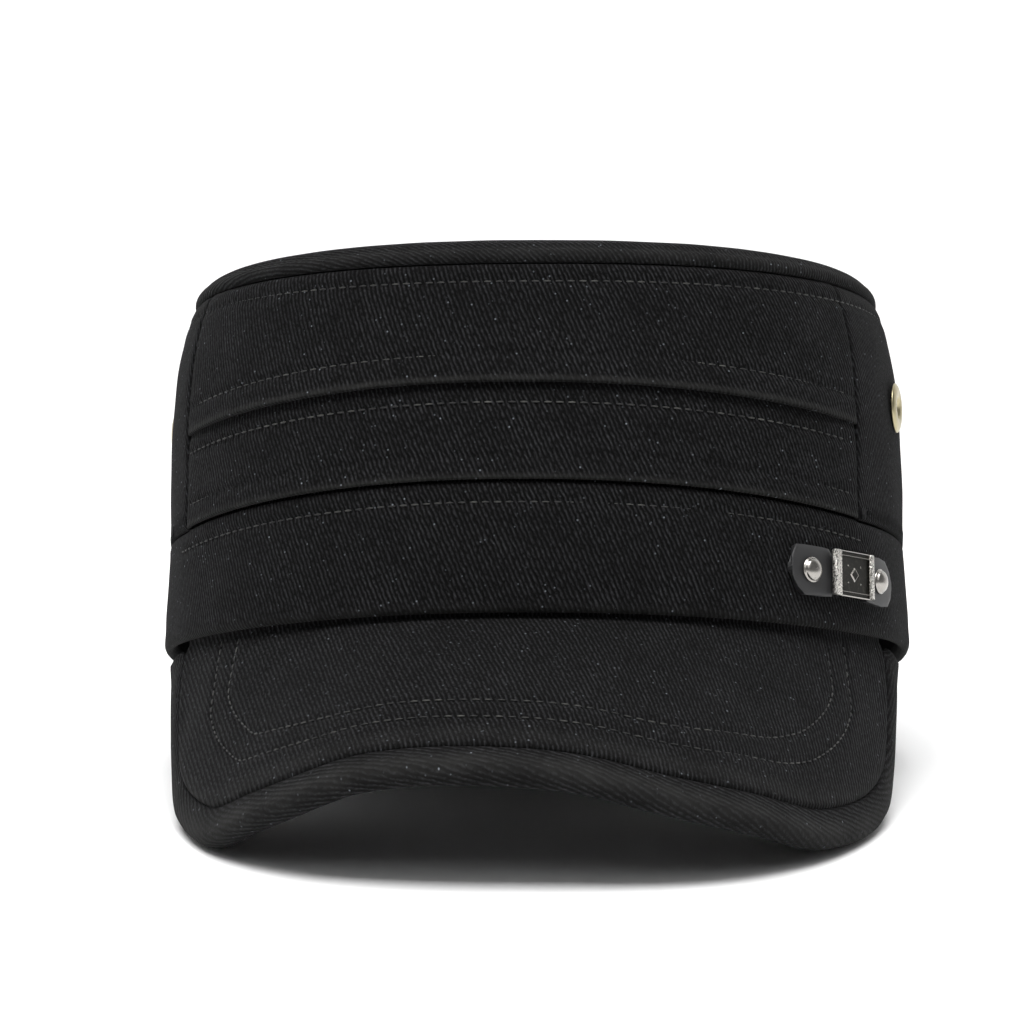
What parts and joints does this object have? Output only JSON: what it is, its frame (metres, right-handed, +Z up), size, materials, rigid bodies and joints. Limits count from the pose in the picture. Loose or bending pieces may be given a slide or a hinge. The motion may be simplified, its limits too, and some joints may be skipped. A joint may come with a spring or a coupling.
{
  "type": "flat-top cap",
  "caption": "Flat-top fabric cap with tucked front bands, a curved stiff brim, a leather badge strap and ventilation eyelets.",
  "frame": {"origin": "centre of the bounding box, on the surface that the cap rests on", "axes": "+Z up, -Y towards the brim, +X towards the wearer's left; the cap lies leaned back as it rests by itself"},
  "size_m": [0.177, 0.2696, 0.1261],
  "materials": {
    "twill": "black cotton twill",
    "strap_leather": "smooth dark grey leather",
    "badge_metal": "polished silver-toned metal",
    "eyelet_brass": "pale brass"
  },
  "bodies": {
    "root": {"crown_top": "twill", "front_band_upper": "twill", "front_band_lower": "twill", "crown_back": "twill", "outer_band": "twill", "brim": "twill", "brim_edge": "twill", "badge_strap": "strap_leather", "badge_plate": "badge_metal", "badge_rivet_front": "badge_metal", "badge_rivet_rear": "badge_metal", "eyelet_left": "eyelet_brass", "eyelet_right": "eyelet_brass"}
  },
  "joints": []
}
